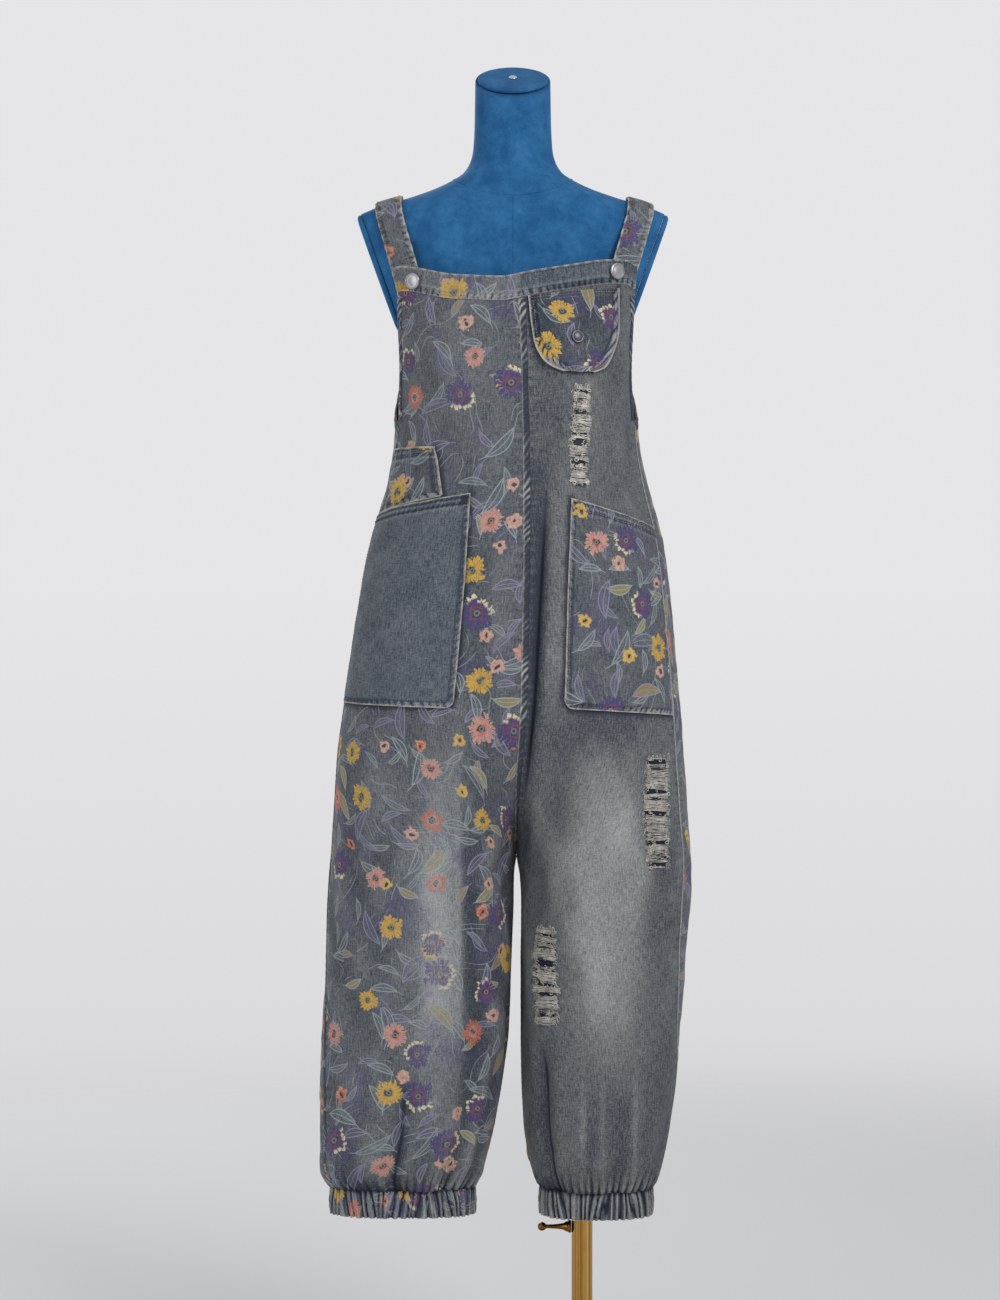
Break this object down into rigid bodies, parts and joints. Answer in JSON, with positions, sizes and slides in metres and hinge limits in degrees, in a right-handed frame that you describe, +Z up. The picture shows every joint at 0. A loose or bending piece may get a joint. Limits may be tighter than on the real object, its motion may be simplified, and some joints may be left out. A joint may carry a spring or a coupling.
{
  "type": "harem jumpsuit on a dress form",
  "caption": "Loose denim bib jumpsuit with patch pockets and gathered cuffs, on a velvet dress form whose round-footed pole stands inside one leg.",
  "frame": {"origin": "centre of the stand's foot, at its flat underside, on the pole's axis", "axes": "+Z up along the pole, -Y to the wearer's front, +X to the wearer's left"},
  "size_m": [0.5135, 0.4, 1.623],
  "materials": {
    "printed_denim": "washed grey-blue denim with a flower print",
    "plain_denim": "washed grey-blue denim",
    "velvet": "blue flocked velvet",
    "nickel": "polished nickel",
    "dark_metal": "dark plated metal",
    "brass": "polished brass",
    "steel": "plain steel"
  },
  "bodies": {
    "stand": {"stand_base": "brass", "outer_tube": "brass"},
    "form": {"front_right": "printed_denim", "front_left": "plain_denim", "back_right": "printed_denim", "back_left": "printed_denim", "bib_band_right": "printed_denim", "bib_band_left": "plain_denim", "strap_right": "printed_denim", "strap_left": "printed_denim", "big_pocket_right": "plain_denim", "big_pocket_left": "printed_denim", "ticket_pocket_right": "printed_denim", "bib_flap": "printed_denim", "cuff_right": "printed_denim", "cuff_left": "plain_denim", "bib_button_right": "nickel", "bib_button_left": "nickel", "flap_snap": "dark_metal", "form_torso": "velvet", "neck_cap": "velvet", "cap_screw": "steel", "arm_plate_right": "velvet", "arm_plate_left": "velvet", "inner_pole": "brass"},
    "thumb_screw": {"clamp_screw": "brass"}
  },
  "joints": [
    {"name": "form_height", "type": "slide", "parent": "stand", "child": "form", "axis": [0, 0, 1], "range_m": [0, 0.2]},
    {"name": "thumb_screw_turn", "type": "hinge", "parent": "stand", "child": "thumb_screw", "pos_m": [-0.013, 0, 0.224], "axis": [-1, 0, 0], "range_deg": [0, 360]}
  ]
}
